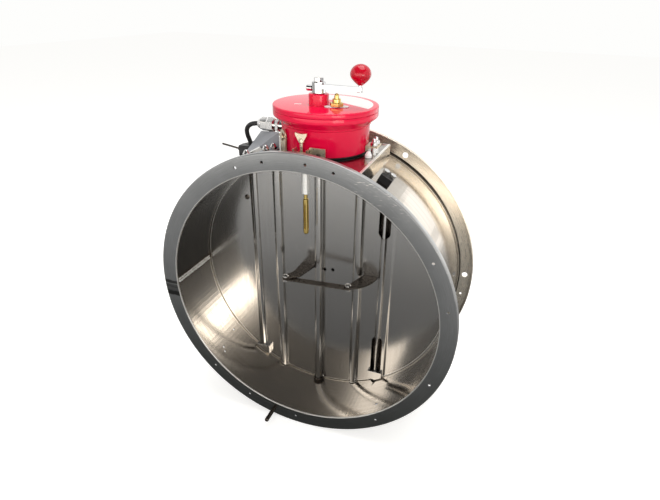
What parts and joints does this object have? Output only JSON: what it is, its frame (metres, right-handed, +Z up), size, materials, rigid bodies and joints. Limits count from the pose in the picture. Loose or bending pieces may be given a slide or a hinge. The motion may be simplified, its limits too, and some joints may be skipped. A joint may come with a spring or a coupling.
{
  "type": "round spring-return duct damper",
  "caption": "Round steel duct damper with wide end flanges, a ribbed blade on a vertical shaft, and a red spring drum on top with a crank handle, fusible link and cable gland.",
  "frame": {"origin": "Where the blade shaft's axis crosses the centre line of the duct", "axes": "+Z up along the blade shaft to the drum, +Y along the duct from the front flange to the back flange, +X to the right seen from the front"},
  "size_m": [0.56, 0.26, 0.6806],
  "materials": {
    "brushed_stainless": "brushed stainless sheet",
    "dark_stainless": "darker rolled steel",
    "flange_steel": "galvanised sheet, scratched",
    "polished_steel": "polished steel",
    "red_enamel": "gloss red enamel",
    "chrome": "bright chrome",
    "brass": "turned brass",
    "yellow_zinc": "yellow zinc plate",
    "black_rubber": "matt black rubber",
    "black_plastic": "matt black plastic",
    "grey_paint": "light grey paint",
    "spring_steel": "blued spring steel"
  },
  "bodies": {
    "case": {"duct_shell": "brushed_stainless", "flange_stud": "dark_stainless", "lower_bush": "dark_stainless", "upper_bush": "dark_stainless", "clamp_bracket_bolt": "dark_stainless", "side_bracket_bolt": "dark_stainless", "front_flange": "flange_steel", "back_flange": "flange_steel", "switch_bracket": "flange_steel", "saddle_box": "polished_steel", "link_holder": "polished_steel", "release_plate": "polished_steel", "ear_bolt_front": "polished_steel", "ear_bolt_back": "polished_steel", "box_nut_left": "polished_steel", "box_nut_right": "polished_steel", "cover_nut_left": "polished_steel", "cover_nut_right": "polished_steel", "gland_body": "polished_steel", "gland_nut": "polished_steel", "stop_bolt_left": "polished_steel", "stop_bolt_right": "polished_steel", "drum_housing": "red_enamel", "drum_lid": "red_enamel", "fusible_link": "brass", "release_bush": "brass", "clamp_bracket": "yellow_zinc", "side_bracket": "yellow_zinc", "drum_ear": "yellow_zinc", "drum_gasket": "black_rubber", "signal_cable": "black_rubber", "end_switch": "black_plastic", "stop_block": "black_plastic", "wiring_cover": "grey_paint", "power_spring": "spring_steel", "spring_post": "spring_steel"},
    "blade": {"damper_shaft": "brushed_stainless", "blade": "brushed_stainless", "blade_seal": "spring_steel", "blade_back": "dark_stainless", "left_rod": "brushed_stainless", "right_rod": "brushed_stainless", "left_rod_clip": "dark_stainless", "right_rod_clip": "dark_stainless", "strap_arm": "dark_stainless", "strap_link": "dark_stainless", "strap_lug": "dark_stainless", "left_strap_bolt": "polished_steel", "right_strap_bolt": "polished_steel", "spring_arbor": "spring_steel", "crank_arm": "chrome", "crank_nut": "polished_steel", "crank_set_screw": "dark_stainless", "knob_stud": "chrome", "ball_knob": "red_enamel"},
    "release": {"release_pin": "brass"},
    "clamp": {"clamp_barrel": "yellow_zinc"},
    "wing": {"wing_screw": "yellow_zinc"},
    "lever": {"switch_lever": "dark_stainless"}
  },
  "joints": [
    {"name": "blade_turn", "type": "hinge", "parent": "case", "child": "blade", "pos_m": [0, 0, 0], "axis": [0, 0, 1], "range_deg": [-90, 0], "stiffness_Nm_per_rad": 1},
    {"name": "release_push", "type": "slide", "parent": "case", "child": "release", "axis": [0, 0, -1], "range_m": [0, 0.004], "stiffness_N_per_m": 400, "springref_m": -0.001},
    {"name": "clamp_swing", "type": "hinge", "parent": "case", "child": "clamp", "pos_m": [-0.0015, -0.069, 0.2685], "axis": [1, 0, 0], "range_deg": [0, 45]},
    {"name": "wing_turn", "type": "hinge", "parent": "clamp", "child": "wing", "pos_m": [-0.0015, -0.069, 0.2685], "axis": [0, 0, 1], "continuous": true},
    {"name": "lever_tip", "type": "hinge", "parent": "case", "child": "lever", "pos_m": [-0.1771, 0.0335, 0.233], "axis": [0, 1, 0], "range_deg": [-15, 15], "stiffness_Nm_per_rad": 0.1}
  ]
}
